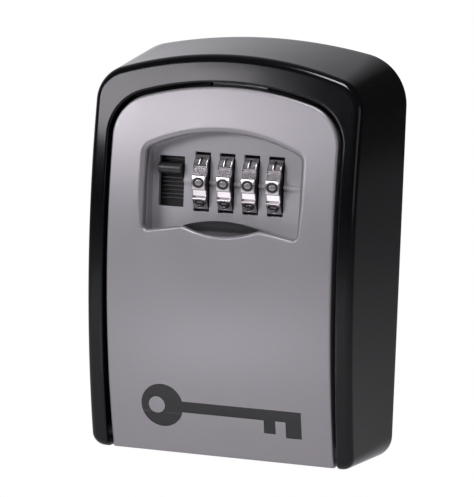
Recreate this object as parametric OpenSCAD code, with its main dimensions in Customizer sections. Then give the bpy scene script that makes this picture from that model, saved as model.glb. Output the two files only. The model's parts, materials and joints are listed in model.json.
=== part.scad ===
// Key lock box: a wall-mounted case whose hinged front door carries a four-dial lock.
// X is across, Y points into the wall (the wall plane is Y = 0), Z is up.
// The origin is the centre of the back face. Depths are distances in front of the wall.

/* [Housing] */
// Width of the back edge
body_w = 84; // [80:0.5:104]
// Height of the back edge
body_h = 117; // [112:0.5:142]
// Depth from the wall to the crown of the frame
body_d = 35; // [34:0.5:43]
// Thickness of the back wall
back_wall = 3; // [2.5:0.1:4]
// Thickness of the bottom wall
bottom_wall = 3; // [2.5:0.1:3.4]
// How far the side walls lean in from back to front
side_draft = 3.1; // [1:0.1:4]
// Rounding of the frame's front edge
edge_round = 2; // [1:0.1:2.4]
// Height of the crown's axis above the centre
crown_z = 5.6; // [0:0.1:10]
// Radius of the frame's bowed front
frame_crown_r = 248.6; // [220:0.1:300]

/* [Door] */
// Width of the housing's rim on each side of the door
rim_w = 9.1; // [8.5:0.1:10]
// Height of the housing's rim above the door
rim_top = 12.65; // [12:0.05:14]
// Gap between the door and the rim
door_gap = 1.2; // [0.8:0.1:1.5]
// Radius of the door's bowed front
door_crown_r = 206.4; // [200:0.1:260]
// Thickness of the door's skin and skirt
skin = 2; // [1.6:0.1:2.2]
// Radius of the hinge pins
pin_r = 1.5; // [1.2:0.05:1.8]
// Radial clearance of every turning or sliding pin
pin_fit = 0.05; // [0.02:0.01:0.08]

/* [Dials] */
// Radius of a dial
dial_r = 10.4; // [9.6:0.1:10.6]
// Width of a dial
dial_w = 4.1; // [3.8:0.1:4.4]
// Distance between two dials
dial_pitch = 7.2; // [7:0.1:8.7]
// Place of the left dial
dial_x = -8; // [-8.2:0.1:-7.8]
// Height of the dials proud of the dial plate
dial_proud = 3.4; // [3:0.1:3.6]
// Distance from the door's top edge down to the dial axis
dial_drop = 26.85; // [26:0.05:29]
// Travel of the code hubs when the code is changed
code_travel = 1.2; // [1.1:0.05:1.25]

/* [Lock] */
// Half width of the lock case
case_half = 28.5; // [28:0.1:29]
// Thickness of the lock case's walls and plate
case_wall = 1.5; // [1.2:0.1:1.8]
// Thickness of the shutter
shutter_t = 1; // [0.8:0.1:1.2]
// Gap on each face of the shutter
shutter_gap = 0.25; // [0.2:0.05:0.35]
// Downward travel of the slider and its latch
latch_travel = 3; // [2.6:0.1:3.2]
// Thickness of the latch plate
latch_t = 2.4; // [2:0.1:2.6]

/* [Wall mount] */
// Distance between the wall screws, across
screw_span_x = 40; // [30:1:44]
// Distance between the wall screws, up
screw_span_z = 60; // [50:1:76]
// Radius of a wall screw hole
screw_hole_r = 2.5; // [2:0.1:3]

/* [Hidden] */
$fn = 96;
CROWN_FN = 360;
far = 200;
digits = 10;
arch_n = 10;
corner_n = 7;
side_n = 9;
low_n = 4;

top_z = body_h / 2;
low_z = -body_h / 2;
half_w = body_w / 2;

// An outline is [half width, top, arch radius, corner radius, bottom, bottom corner radius].
back_rim = [half_w, top_z, 149.4, 14.3, low_z, 6.5];
front_rim = [half_w - side_draft, top_z - 3.7, 107.1, 9.65, low_z + 0.4, 3.6];
door_half = half_w - rim_w;
door_top = top_z - rim_top;
door_low = low_z + 0.3;
door_rim = [door_half, door_top, 85.6, 11.9, door_low, 0.5];

// Depth of the bowed fronts at a height
function bow(r, crown_d, z) = crown_d - r + sqrt(r * r - pow(z - crown_z, 2));
function frame_depth(z) = bow(frame_crown_r, body_d, z);
function door_depth(z) = bow(door_crown_r, door_crown_d, z);
door_crown_d = body_d + 0.12;

// The hinge lies inside the door's bottom edge.
hinge_z = low_z + 4.5;
hinge_d = door_depth(door_low) - 3.5;
knuckle_r = 4.2;
knuckle_len = 7;
pin_len = 9;
skirt_back = hinge_d + 0.9;
ledge_d = hinge_d + 0.5;
toe_back = hinge_d - 4.5;
bottom_wall_d = hinge_d - 6.5;
relief_top = low_z + 12.5;

// Lock layout, from the dial axis
axis_z = door_top - dial_drop;
plate_d = door_depth(axis_z) - 7.18;
axis_d = plate_d + dial_proud - dial_r;
plate_back = plate_d - case_wall;
case_back = axis_d - dial_r - 1.4;
cover_back = case_back - case_wall;
case_low = axis_z - 15.5;
case_top = axis_z + 20;
case_chamfer = 8;
case_crown = skin + 2 * shutter_gap + shutter_t;
window_half = 22.6;
window_top = axis_z + 14.3;
window_low = axis_z - 14;
scoop_half = 11;
scoop_r = 27.5;
shoulder_rise = scoop_r - sqrt(scoop_r * scoop_r - scoop_half * scoop_half);
slot_clear = 0.4;
dial_xs = [for (i = [0:3]) dial_x + i * dial_pitch];
face = dial_w / 2;

// Code hubs, from each dial's middle plane
hub_gap = 0.2;
disc_t = 1.4;
disc_x = face + hub_gap;
hub_r = dial_r - dial_proud - case_wall + 0.4;
boss_r = hub_r - 1.5;
tooth_len = 1;
tooth_h = 0.75;
gate_w = latch_t + 0.8;
gate_r = hub_r - 0.9;
hub_clear = 0.3;
spindle_r = 1.5;
spindle_left = -case_half + 2.1;
spindle_right = case_half - 3;
bearing_r = 3;
clip_r = spindle_r + 0.7;
clip_t = 0.4;
first_clip_x = dial_xs[0] - face - 1.55;

// Slider and latch
slider_x = -17.1;
slider_open_w = 7.4;
slider_open_low = axis_z - 7.5;
slider_open_top = axis_z + 6.7;
slider_w = 10.4;
slider_d = plate_back - 3;
rib_d = plate_back - 0.3;
thumb_low = axis_z + 2;
thumb_h = 3;
thumb_d = plate_d + 2.2;
bar_low = axis_z + dial_r + latch_travel + 1.1;
bar_top = bar_low + 3;
finger_low = axis_z + gate_r + latch_travel + 0.3;
latch_back = axis_d - latch_t / 2;
latch_front = axis_d + latch_t / 2;
tab_x = -19.6;
tab_w = 6.6;
tooth_half = 8;
tooth_top = door_top + door_gap + 2;
strike_gap = 0.6;
foot_z = axis_z - 4.5;
spring_r = 1.9;
spring_wire = 0.45;
spring_d = slider_d - spring_r - spring_wire - 0.15;

// Shutter and its guide
shutter_half = 26;
shutter_top = axis_z - 10;
shutter_low = axis_z - 41.5;
guide_low = shutter_low - 2.5;
guide_t = 1.2;
rail_x = shutter_half + 0.3;

// Screws of the lock case
boss_hole_r = 0.85;
door_boss_r = 1.8;
screw_r = 0.8;
head_r = 1.9;
head_t = 1.2;
case_screws_at = [for (s = [-1, 1]) [9.5 * s, case_top + 1.9]];
guide_screws_at = [for (s = [-1, 1]) [22 * s, guide_low - 2]];
cover_screws_at = [for (s = [-1, 1]) each [[25 * s, case_low + 3.5], [20.1 * s, case_top - 4.4]]];
lug_d = door_depth(case_top + 1.9) - skin - 4.2;
guide_lug_d = door_depth(guide_low - 2) - case_crown - guide_t;
lug_t = 2;

// ---- outlines ----

// Right half of an arched outline, from the top of the arch to the bottom corner
function half_outline(p) =
    let (w = p[0], top = p[1], ra = p[2], rc = p[3], low = p[4], rb = p[5],
         ca = top - ra,
         zc = ca + sqrt(pow(ra - rc, 2) - pow(w - rc, 2)),
         lean = atan2(zc - ca, w - rc))
    concat(
        [for (i = [0:arch_n]) let (a = 90 - (90 - lean) * i / arch_n)
            [ra * cos(a), ca + ra * sin(a)]],
        [for (i = [1:corner_n]) let (a = lean * (1 - i / corner_n))
            [w - rc + rc * cos(a), zc + rc * sin(a)]],
        [for (i = [1:side_n]) [w, zc + (low + rb - zc) * i / side_n]],
        [for (i = [1:low_n]) let (a = -90 * i / low_n)
            [w - rb + rb * cos(a), low + rb + rb * sin(a)]]
    );

// A whole outline from its right half, whose first point is on the centre line
function both_halves(h) = concat(h, [for (i = [len(h) - 1:-1:1]) [-h[i][0], h[i][1]]]);

// The same outline moved inwards by k
function inset(p, k) = [p[0] - k, p[1] - k, p[2] - k, p[3] - k, p[4] + k, max(p[5] - k, 0.2)];

// The window's outline: an arch on top, a finger scoop in the middle of the bottom edge
function window_bottom(x) = abs(x) < scoop_half
    ? window_low + scoop_r - sqrt(scoop_r * scoop_r - x * x)
    : window_low + shoulder_rise * (1 - 0.9 * (abs(x) - scoop_half) / (window_half - scoop_half));
function window_outline() =
    let (h = half_outline([window_half, window_top, 50, 2.5, window_low, 0.2]),
         upper = [for (q = h) if (q[1] > window_low + 2) q],
         lower = [for (x = [22.2, 20, 17.5, 14, 12, 11, 9.5, 8, 6, 4, 2]) [x, window_bottom(x)]])
    concat(upper, lower, [[0, window_low]], [for (i = [len(lower) - 1:-1:0]) [-lower[i][0], lower[i][1]]],
           [for (i = [len(upper) - 1:-1:1]) [-upper[i][0], upper[i][1]]]);

// ---- helpers ----

// Extrudes an X-Z outline from depth d0 to depth d1
module slab(d0, d1) {
    translate([0, -d0, 0]) rotate([90, 0, 0]) linear_extrude(d1 - d0) children();
}

module arched(p) { polygon(both_halves(half_outline(p))); }

// A box between two corners given as [x, depth, z]
module block(a, b) {
    translate([a[0], -b[1], a[2]]) cube([b[0] - a[0], b[1] - a[1], b[2] - a[2]]);
}

// A cylinder along the wall's normal, from depth d0 to d1
module post(x, z, r, d0, d1) {
    translate([x, -d0, z]) rotate([90, 0, 0]) cylinder(r = r, h = d1 - d0);
}

// A cylinder along X at a depth and a height
module rod(x0, x1, d, z, r) {
    translate([x0, -d, z]) rotate([0, 90, 0]) cylinder(r = r, h = x1 - x0);
}

// The solid behind the door's bowed front, sunk below its surface
module behind_bow(sink) {
    translate([-far / 2, door_crown_r - door_crown_d, crown_z]) rotate([0, 90, 0])
        cylinder(r = door_crown_r - sink, h = far, $fn = CROWN_FN);
}

// A layer that follows the bow, between two distances below the door's surface
module bowed(sink0, sink1) {
    intersection() {
        children();
        difference() { behind_bow(sink0); behind_bow(sink1); }
    }
}

// A round-wire compression spring along +Z
module coil(r, wire, length, turns) {
    sides = 8;
    steps = turns * 14;
    function at(i) = let (a = 360 * turns * i / steps)
        [r * cos(a), r * sin(a), wire + (length - 2 * wire) * i / steps];
    points = [for (i = [0:steps]) let (a = 360 * turns * i / steps, c = at(i))
        each [for (k = [0:sides - 1]) let (b = 360 * k / sides)
            [c[0] + wire * cos(b) * cos(a), c[1] + wire * cos(b) * sin(a), c[2] + wire * sin(b)]]];
    polyhedron(points, concat(
        [[for (k = [0:sides - 1]) k]],
        [for (i = [0:steps - 1], k = [0:sides - 1])
            let (a = i * sides + k, b = i * sides + (k + 1) % sides)
            each [[a, a + sides, b], [b, a + sides, b + sides]]],
        [[for (k = [sides - 1:-1:0]) steps * sides + k]]));
}

// ---- housing ----

// Outer shell: rings from the back edge to the front edge's rounding
module housing_shell() {
    turn = edge_round * (1 - sqrt(0.5));
    rims = [inset(back_rim, 0.6), back_rim, front_rim, inset(front_rim, turn), inset(front_rim, edge_round)];
    sinks = [0, 0, edge_round, turn, 0];
    halves = [for (p = rims) half_outline(p)];
    m = len(halves[0]);
    n = 2 * m - 1;
    rings = [for (k = [0:4]) [for (q = both_halves(halves[k]))
        [q[0], k == 0 ? 0 : k == 1 ? -0.6 : sinks[k] - frame_depth(q[1]), q[1]]]];
    polyhedron([for (r = rings) each r], concat(
        [for (k = [0:3], i = [0:n - 1]) let (j = (i + 1) % n, a = k * n, b = a + n)
            each [[b + i, a + i, a + j], [b + i, a + j, b + j]]],
        [[4 * n, 4 * n + 1, 4 * n + n - 1]],
        [for (i = [1:m - 2]) [4 * n + i, 4 * n + i + 1, 5 * n - i - 1, 5 * n - i]],
        [[n - 1, 1, 0]],
        [for (i = [1:m - 2]) [n - i, n - i - 1, i + 1, i]]));
}

cavity_half = door_half - 1.9;
cavity_rim = [cavity_half, door_top - 0.85, 85, 10, low_z + bottom_wall, 2];

module housing() color([0.09, 0.09, 0.1]) {
    difference() {
        housing_shell();
        slab(ledge_d, far) arched([door_half + door_gap, door_top + door_gap, 86.8, 13.1,
                                   low_z + bottom_wall, 0.5]);
        slab(back_wall, ledge_d + 0.1) arched(cavity_rim);
        block([-door_half - door_gap + 0.05, bottom_wall_d, low_z - 1],
              [door_half + door_gap - 0.05, far, relief_top]);
        block([-tooth_half - strike_gap, latch_back - strike_gap, door_top - 6],
              [tooth_half + strike_gap, latch_front + strike_gap, tooth_top + strike_gap]);
        for (s = [-1, 1]) {
            x = door_half - knuckle_len + 2;
            rod(s > 0 ? x : -x - pin_len, s > 0 ? x + pin_len : -x, hinge_d, hinge_z, pin_r);
        }
        for (x = [-0.5, 0.5] * screw_span_x, z = [-0.5, 0.5] * screw_span_z) {
            post(x, z, screw_hole_r, -1, back_wall + 1);
            translate([x, -back_wall / 2, z]) rotate([90, 0, 0])
                cylinder(r1 = screw_hole_r, r2 = screw_hole_r + back_wall / 2, h = back_wall / 2);
        }
    }
}

module hinge_pin(side) color("silver") {
    x = door_half - knuckle_len + 2;
    rod(side > 0 ? x : -x - pin_len, side > 0 ? x + pin_len : -x, hinge_d, hinge_z, pin_r);
}

// ---- door ----

// A plain key, drawn from circles and bars
module key_outline() {
    z = low_z + 14.2;
    difference() {
        union() {
            translate([-17, z]) circle(r = 6.2);
            translate([-13, z - 1.6]) square([37, 3.2]);
            translate([13, z - 5.4]) square([3.4, 5]);
            translate([19.4, z - 6.2]) square([4.6, 6]);
        }
        translate([-18.6, z]) circle(r = 2.4);
    }
}

module door_panel() color([0.55, 0.54, 0.55]) {
    difference() {
        union() {
            intersection() {
                difference() {
                    slab(skirt_back, far) arched(door_rim);
                    intersection() {
                        slab(0, far) arched(inset(door_rim, skin));
                        behind_bow(skin);
                    }
                }
                behind_bow(0);
            }
            // the toe: the bottom edge that turns back below the hinge
            intersection() {
                block([-door_half, toe_back, door_low], [door_half, far, door_low + skin]);
                behind_bow(1);
            }
            for (s = [-1, 1]) {
                x0 = s > 0 ? door_half - knuckle_len : -door_half;
                rod(x0, x0 + knuckle_len, hinge_d, hinge_z, knuckle_r - 0.1);
                block([x0, hinge_d, door_low + 0.1], [x0 + knuckle_len, skirt_back + 1.5, hinge_z + 3.5]);
            }
            for (q = case_screws_at)
                intersection() { post(q[0], q[1], door_boss_r, lug_d + lug_t, far); behind_bow(skin / 2); }
            for (q = guide_screws_at)
                intersection() { post(q[0], q[1], door_boss_r, guide_lug_d + lug_t, far); behind_bow(skin / 2); }
        }
        slab(skirt_back - 1, far) polygon(window_outline());
        // room for the latch where the skirt reaches back to it
        block([-tooth_half - 0.5, latch_back - 0.5, door_top - skin - 1], [tooth_half + 0.5, latch_front + 0.5, door_top + 1]);
        for (s = [-1, 1]) {
            x = door_half - knuckle_len - 1;
            rod(s > 0 ? x : -x - far / 4, s > 0 ? x + far / 4 : -x, hinge_d, hinge_z, pin_r + pin_fit);
        }
        for (q = case_screws_at) post(q[0], q[1], boss_hole_r, lug_d, lug_d + lug_t + 3.2);
        for (q = guide_screws_at) post(q[0], q[1], boss_hole_r, guide_lug_d, guide_lug_d + lug_t + 2);
        bowed(-1, 0.6) slab(skirt_back, far) key_outline();
    }
}

module key_emblem() color([0.08, 0.08, 0.09]) bowed(0.15, 0.6) slab(skirt_back, far) key_outline();

module shutter() color([0.1, 0.1, 0.11]) {
    sink = skin + shutter_gap;
    bowed(sink, sink + shutter_t)
        slab(skirt_back, far) arched([shutter_half, shutter_top, 36, 6, shutter_low, 2]);
}

// U-shaped track that holds the shutter against the door
module shutter_guide() color([0.16, 0.16, 0.17]) {
    difference() {
        union() {
            bowed(case_crown, case_crown + guide_t)
                block([-case_half, 0, guide_low], [case_half, far, case_low - 0.2]);
            for (x = [-case_half, rail_x])
                bowed(skin, case_crown + 0.1)
                    block([x, 0, guide_low], [x + case_half - rail_x, far, case_low - 0.2]);
            bowed(skin, case_crown + 0.1)
                block([-case_half, 0, guide_low], [case_half, far, shutter_low - 0.4]);
            for (q = guide_screws_at) hull() {
                post(q[0], q[1], 2.6, guide_lug_d, guide_lug_d + lug_t, $fn = 32);
                post(q[0], guide_low - 0.7, 2.6, guide_lug_d, guide_lug_d + lug_t, $fn = 32);
            }
        }
        block([-21, 0, guide_low + 5], [21, far, case_low + 1]);
        for (q = guide_screws_at) post(q[0], q[1], screw_r + 0.15, 0, far);
    }
}

// ---- lock case ----

function case_outline(k) =
    let (w = case_half - k, top = case_top - k, low = case_low + k, c = case_chamfer - 0.6 * k)
    [[w, low], [w, top - c], [w - c, top], [c - w, top], [-w, top - c], [-w, low]];

module lock_case() color([0.56, 0.55, 0.56]) {
    difference() {
        union() {
            difference() {
                intersection() { slab(case_back, far) polygon(case_outline(0)); behind_bow(case_crown); }
                slab(plate_d, far) arched([window_half, window_top, 50, 2.5, window_low - 0.6, 0.5]);
                slab(case_back - 1, plate_back) polygon(case_outline(case_wall));
            }
            // side rails that keep the shutter in line
            for (x = [-case_half, rail_x])
                bowed(skin, case_crown + 0.1)
                    block([x, 0, case_low], [x + case_half - rail_x, far, case_top - case_chamfer]);
            // the index line across the dial plate
            block([slider_x + slider_open_w / 2 - 0.1, plate_d - 0.1, axis_z - 0.45],
                  [window_half, plate_d + 0.5, axis_z + 0.45]);
            for (q = cover_screws_at) post(q[0], q[1], 2.2, case_back, case_back + 9.5);
            for (q = case_screws_at) {
                post(q[0], q[1], 2, lug_d, lug_d + lug_t);
                block([q[0] - 2, lug_d, case_top - 0.5], [q[0] + 2, lug_d + lug_t, q[1]]);
            }
            rod(-case_half + 0.5, -case_half + 5.5, axis_d, axis_z, bearing_r);
            rod(case_half - 3.5, case_half - 0.5, axis_d, axis_z, bearing_r);
        }
        for (x = dial_xs) rod(x - face - 0.2, x + face + 0.2, axis_d, axis_z, dial_r + slot_clear);
        // relief behind the plate for the hubs' discs
        for (x = dial_xs)
            rod(x + disc_x - 0.1, x + disc_x + disc_t + code_travel + 0.1, axis_d, axis_z, hub_r + hub_clear);
        block([slider_x - slider_open_w / 2, plate_back - 1, slider_open_low],
              [slider_x + slider_open_w / 2, far, slider_open_top]);
        block([-tooth_half - 0.4, latch_back - 0.4, case_top - 3], [tooth_half + 0.4, latch_front + 0.4, case_top + 1]);
        rod(-case_half - 1, case_half + 1, axis_d, axis_z, spindle_r + pin_fit);
        for (q = cover_screws_at) post(q[0], q[1], boss_hole_r, case_back - 1, case_back + 7);
        for (q = case_screws_at) post(q[0], q[1], screw_r + 0.15, 0, far);
        // clearance behind the case screws' heads
        for (q = case_screws_at) post(q[0], q[1], head_r + 0.5, case_back - 1, lug_d);
    }
}

module rear_cover() color([0.13, 0.13, 0.14]) {
    difference() {
        slab(cover_back, case_back) polygon(case_outline(0));
        for (q = cover_screws_at) post(q[0], q[1], screw_r + 0.15, 0, case_back + 1);
        block([slider_x - 1.6, 0, axis_z - 2.3], [slider_x + 4.6, case_back + 1, axis_z + 2.3]);
        for (q = case_screws_at) post(q[0], q[1], head_r + 0.5, 0, case_back + 1);
    }
}

// A cross-head screw pointing forwards, with its seat at depth d
module screw(x, z, d, length) {
    difference() {
        union() {
            post(x, z, screw_r, d - 0.1, d + length);
            post(x, z, head_r, d - head_t, d);
        }
        for (a = [0, 90]) translate([x, -d + head_t, z]) rotate([0, a, 0])
            cube([2.2, 1.2, 0.5], center = true);
    }
}

module cover_screws() color("silver") for (q = cover_screws_at) screw(q[0], q[1], cover_back, 7.5);

module case_screws() color("silver") {
    for (q = case_screws_at) screw(q[0], q[1], lug_d, lug_t + 2.8);
    for (q = guide_screws_at) screw(q[0], q[1], guide_lug_d, lug_t + 1.6);
}

// ---- slider and latch ----

module open_slider() color([0.07, 0.07, 0.08]) {
    left = slider_x - slider_w / 2;
    base_low = slider_open_low - 2.8;
    base_top = slider_open_top + latch_travel + 1;
    union() {
        block([left, slider_d, base_low], [left + slider_w, slider_d + 1.9, base_top]);
        block([slider_x - 3.4, slider_d, thumb_low], [slider_x + 3.4, thumb_d, thumb_low + thumb_h]);
        for (i = [0:5])
            block([slider_x - 3.4, slider_d, thumb_low - 1.5 - 1.15 * i],
                  [slider_x + 3.4, rib_d, thumb_low - 0.9 - 1.15 * i]);
        for (i = [0:2])
            block([slider_x - 3.4, slider_d, thumb_low + thumb_h + 0.5 + 1.15 * i],
                  [slider_x + 3.4, rib_d, thumb_low + thumb_h + 1.1 + 1.15 * i]);
        // the pad that carries the latch plate, and the foot on the return spring
        block([tab_x, latch_front, thumb_low + thumb_h + 1], [tab_x + tab_w, slider_d + 0.1, base_top]);
        block([slider_x - 3, spring_d - spring_r - 0.7, foot_z], [slider_x + 3, slider_d + 0.1, foot_z + 2]);
    }
}

module latch_plate() color("gainsboro") {
    union() {
        block([tab_x, latch_back, bar_low], [dial_xs[3] + disc_x + 1.7, latch_front, bar_top]);
        block([tab_x, latch_back, axis_z + spindle_r + latch_travel + 0.7],
              [tab_x + tab_w, latch_front, bar_low + 0.1]);
        block([-tooth_half, latch_back, bar_top - 0.1], [tooth_half, latch_front, tooth_top]);
        for (x = dial_xs)
            block([x + disc_x + 0.1, latch_back, finger_low], [x + disc_x + 1.3, latch_front, bar_low + 0.1]);
    }
}

module latch_spring() color("silver")
    translate([slider_x, -spring_d, case_low + case_wall + 0.1])
        coil(spring_r, spring_wire, foot_z - case_low - case_wall - 0.2, 5);

// ---- dials, hubs and spindle ----

module dial(i) color("silver") {
    x = dial_xs[i];
    difference() {
        rod(x - face, x + face, axis_d, axis_z, dial_r);
        rod(x - face - 1, x + face + 1, axis_d, axis_z, boss_r);
        for (k = [0:digits - 1]) translate([x, -axis_d, axis_z]) rotate([360 * k / digits, 0, 0]) {
            // notch between two digit pads
            rotate([180 / digits, 0, 0]) translate([0, 0, dial_r + 0.2])
                cube([dial_w + 1, 2.5, 2], center = true);
            // spline notch for the hub
            translate([face - tooth_len - 0.2, -0.6, boss_r - 0.5]) cube([tooth_len + 1.2, 1.2, tooth_h + 0.65]);
        }
    }
}

module code_hub(i) color([0.72, 0.66, 0.45]) {
    x = dial_xs[i];
    difference() {
        union() {
            rod(x - face + 0.15, x + disc_x + 0.1, axis_d, axis_z, boss_r - pin_fit);
            rod(x + disc_x, x + disc_x + disc_t, axis_d, axis_z, hub_r);
            for (k = [0:digits - 1]) translate([x, -axis_d, axis_z]) rotate([360 * k / digits, 0, 0])
                translate([disc_x - hub_gap - tooth_len, -0.45, boss_r - 0.5])
                    cube([tooth_len + hub_gap + 0.1, 0.9, tooth_h + 0.45]);
        }
        rod(x - face - 1, x + disc_x + disc_t + 1, axis_d, axis_z, spindle_r + pin_fit);
        // the gate for the latch's finger, and the opposite gate of the code change
        for (s = [0, 180]) translate([x + disc_x - 0.1, -axis_d, axis_z]) rotate([s, 0, 0])
            translate([0, -gate_w / 2, gate_r]) cube([disc_t + 1, gate_w, hub_r]);
    }
}

module spindle() color("silver") rod(spindle_left, spindle_right, axis_d, axis_z, spindle_r);

module spindle_clips() color([0.5, 0.5, 0.52]) {
    for (x = concat([first_clip_x], [for (c = dial_xs) c + disc_x + disc_t + 0.05])) difference() {
        rod(x, x + clip_t, axis_d, axis_z, clip_r);
        rod(x - 1, x + clip_t + 1, axis_d, axis_z, spindle_r);
    }
}

module spindle_spring() color("silver") {
    x0 = dial_xs[3] + disc_x + disc_t + clip_t + 0.15;
    translate([x0, -axis_d, axis_z]) rotate([0, 90, 0]) coil(2.05, 0.3, case_half - 3.6 - x0, 5);
}

module detent_spring() color("silver") {
    z0 = case_low + case_wall + 0.05;
    union() {
        block([dial_xs[0] - face, case_back + 0.3, z0], [dial_xs[3] + face, case_back + 0.7, z0 + 3]);
        for (x = dial_xs) {
            block([x - 1.4, case_back + 0.3, z0], [x + 1.4, case_back + 0.7, axis_z + 3]);
            rod(x - 1.4, x + 1.4, case_back + 0.75, axis_z, 0.4);
        }
    }
}

module code_change_slide() color([0.75, 0.25, 0.15]) {
    right = first_clip_x - 0.05;
    union() {
        block([slider_x - 3, case_back + 0.2, axis_z - 3.5], [right, case_back + 1.7, axis_z + 3.5]);
        block([slider_x - 1, cover_back - 1.1, axis_z - 2], [slider_x + 2.8, case_back + 0.3, axis_z + 2]);
        difference() {
            block([right - 1.15, case_back + 1.6, axis_z - 4], [right, slider_d - 0.4, axis_z + 4]);
            block([right - 2, axis_d - spindle_r - 0.2, axis_z - spindle_r - 0.2],
                  [right + 1, far, axis_z + spindle_r + 0.2]);
        }
    }
}

housing();
hinge_pin(-1);  // hinge_pin_left
hinge_pin(1);  // hinge_pin_right
door_panel();
key_emblem();
shutter();
shutter_guide();
lock_case();
rear_cover();
cover_screws();
case_screws();
open_slider();
latch_plate();
latch_spring();
dial(0);  // dial_1
dial(1);  // dial_2
dial(2);  // dial_3
dial(3);  // dial_4
code_hub(0);  // code_hub_1
code_hub(1);  // code_hub_2
code_hub(2);  // code_hub_3
code_hub(3);  // code_hub_4
spindle();
spindle_clips();
spindle_spring();
detent_spring();
code_change_slide();
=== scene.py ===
# %% [markdown]
# # A wall-mounted key lock box
# This notebook builds the visible skin of a key lock box around its working model. The real
# object is two zinc castings, a black case and a silver-grey door, with a small lock behind an
# arched window. Every size below is read from the working model or follows from it, so each
# surface ends where the part it covers ends.
# All shapes are computed in millimetres, as whole numpy arrays, and scaled to metres once.

# %% Load the working model
import json
import math

import bmesh
import bpy
import numpy as np
from mathutils import Matrix, Vector

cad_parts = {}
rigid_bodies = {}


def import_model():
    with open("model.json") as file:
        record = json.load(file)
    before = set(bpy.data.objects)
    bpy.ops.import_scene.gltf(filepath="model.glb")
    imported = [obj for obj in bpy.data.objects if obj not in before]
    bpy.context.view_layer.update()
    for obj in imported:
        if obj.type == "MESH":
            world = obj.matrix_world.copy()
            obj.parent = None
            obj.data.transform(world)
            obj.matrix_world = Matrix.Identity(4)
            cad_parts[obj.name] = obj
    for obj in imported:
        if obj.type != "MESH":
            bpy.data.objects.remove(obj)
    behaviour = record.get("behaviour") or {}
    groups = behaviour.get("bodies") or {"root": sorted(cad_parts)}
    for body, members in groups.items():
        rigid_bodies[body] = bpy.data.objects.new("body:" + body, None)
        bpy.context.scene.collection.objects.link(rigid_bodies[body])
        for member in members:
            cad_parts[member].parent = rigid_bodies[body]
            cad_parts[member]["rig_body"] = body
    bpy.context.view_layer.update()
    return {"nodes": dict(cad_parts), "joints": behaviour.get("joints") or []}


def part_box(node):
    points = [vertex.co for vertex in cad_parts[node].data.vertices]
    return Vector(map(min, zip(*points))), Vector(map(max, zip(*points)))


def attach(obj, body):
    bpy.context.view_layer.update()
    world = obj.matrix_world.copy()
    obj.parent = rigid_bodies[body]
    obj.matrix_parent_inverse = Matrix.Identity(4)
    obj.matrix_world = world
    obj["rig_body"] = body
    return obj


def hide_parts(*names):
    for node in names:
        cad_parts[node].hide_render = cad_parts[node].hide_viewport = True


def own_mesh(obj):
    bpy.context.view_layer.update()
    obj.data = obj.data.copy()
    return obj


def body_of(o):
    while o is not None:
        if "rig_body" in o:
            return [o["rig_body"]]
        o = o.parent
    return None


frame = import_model()
joints = {j["name"]: j for j in frame["joints"]}
MM = 1000.0


def box_mm(node):
    """The lowest and highest corner of a node, in millimetres."""
    low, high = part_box(node)
    return np.array(low) * MM, np.array(high) * MM


# %% [markdown]
# ## Measures
# The case, the door and the shutter share one bowed front: each is part of a large cylinder
# whose axis runs across the box, behind the wall. The shutter turns about that axis, so the
# joint gives its place. Depths are counted from the wall towards the viewer, which is -Y.

# %% Sizes read from the model
case_lo, case_hi = box_mm("housing")
half_w, top_z, low_z, body_d = case_hi[0], case_hi[2], case_lo[2], -case_lo[1]
door_lo, door_hi = box_mm("door_panel")
door_half, door_top, door_low, door_crown_d = door_hi[0], door_hi[2], door_lo[2], -door_lo[1]
bow_centre = np.array(joints["shutter_travel"]["pos_m"]) * MM
door_bow_r = bow_centre[1] + door_crown_d
frame_bow_r = 248.6
crown_z = bow_centre[2]
hinge = np.array(joints["door_hinge"]["pos_m"]) * MM
hinge_d, hinge_z = -hinge[1], hinge[2]
dial_axis = np.array(joints["dial_1_turn"]["pos_m"]) * MM
axis_d, axis_z = -dial_axis[1], dial_axis[2]
dial_boxes = [box_mm(f"dial_{i}") for i in (1, 2, 3, 4)]
dial_xs = [(lo[0] + hi[0]) / 2 for lo, hi in dial_boxes]
dial_r = (dial_boxes[0][1][2] - dial_boxes[0][0][2]) / 2
dial_w = dial_boxes[0][1][0] - dial_boxes[0][0][0]
skin = 2.0
door_gap = 1.2
dial_proud = 3.4
plate_d = axis_d + dial_r - dial_proud
plate_t = 1.5
skirt_back = hinge_d + 0.9
ledge_d = hinge_d + 0.5
relief_d = hinge_d - 6.5
toe_back = hinge_d - 4.5
relief_top = low_z + 12.5
print(f"bow radius {door_bow_r:.1f}, dial axis {axis_d:.2f} deep at {axis_z:.2f}, plate {plate_d:.2f}")


def door_depth(z):
    """Depth of the door's bowed front: a circle of door_bow_r about the bow's axis."""
    return door_crown_d - door_bow_r + np.sqrt(door_bow_r**2 - (np.asarray(z) - crown_z) ** 2)


def rim_depth(z):
    """Depth of the case's bowed rim: a slightly flatter circle than the door's."""
    return body_d - frame_bow_r + np.sqrt(frame_bow_r**2 - (np.asarray(z) - crown_z) ** 2)


# %% [markdown]
# ## Outlines
# Both castings have the same kind of outline: a shallow arch on top, two corner arcs tangent
# to it, straight sides, and small bottom corners. Writing it as arcs keeps it exact, and
# because every outline has the same number of points in the same order, two of them can be
# joined point by point. Moving an outline inwards only changes its radii.

# %% Arched outline and its inset
COUNTS = {"arch": 36, "corner": 22, "side": 40, "low": 12, "foot": 10}


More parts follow.
